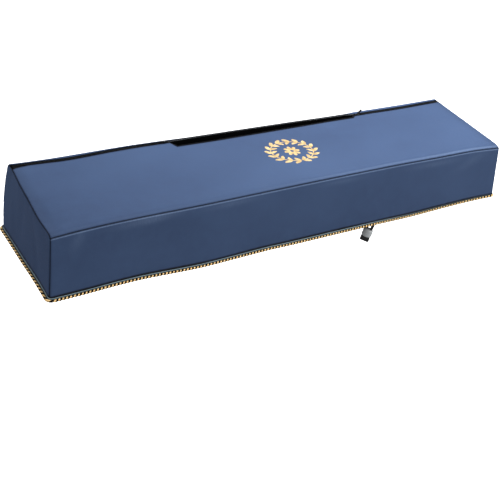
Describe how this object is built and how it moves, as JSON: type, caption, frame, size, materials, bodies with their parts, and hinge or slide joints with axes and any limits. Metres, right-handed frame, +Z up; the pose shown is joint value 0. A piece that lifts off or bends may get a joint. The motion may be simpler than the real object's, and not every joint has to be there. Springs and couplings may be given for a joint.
{
  "type": "digital piano cover",
  "caption": "Fitted velvet dust cover for a digital piano: a long hollow box with a sloping top, a zipped music-rest opening, corded hem trim and a drawcord lock.",
  "frame": {"origin": "underside of the cloth at the middle of the top, where the instrument carries the cover", "axes": "+X along the length to the right seen from the front, -Y to the front, +Z up"},
  "size_m": [1.3663, 0.3374, 0.2548],
  "materials": {
    "velvet": "short-pile velvet with a soft sheen",
    "binding": "satin",
    "rope_yarn": "twisted yarn",
    "zip_tape": "woven tape",
    "zip_coil": "satin",
    "slider_metal": "dark semi-gloss",
    "elastic": "braided",
    "lock_plastic": "semi-gloss",
    "black_plastic": "satin"
  },
  "bodies": {
    "root": {"top_panel": "velvet", "front_panel": "velvet", "back_panel": "velvet", "left_end_panel": "velvet", "right_end_panel": "velvet", "hem_binding": "binding", "hem_rope": "rope_yarn", "zip_front_tape": "zip_tape", "zip_rear_tape": "zip_tape", "zip_coil_left": "zip_coil", "zip_coil_right": "zip_coil", "zip_coil_front": "zip_coil", "zip_coil_rear": "zip_coil", "zip_slider_left": "slider_metal", "zip_slider_right": "slider_metal", "zip_pull_left": "slider_metal", "zip_pull_right": "slider_metal", "drawcord_left": "elastic", "drawcord_right": "elastic", "cord_lock": "lock_plastic", "cord_end_clip": "black_plastic"}
  },
  "joints": []
}
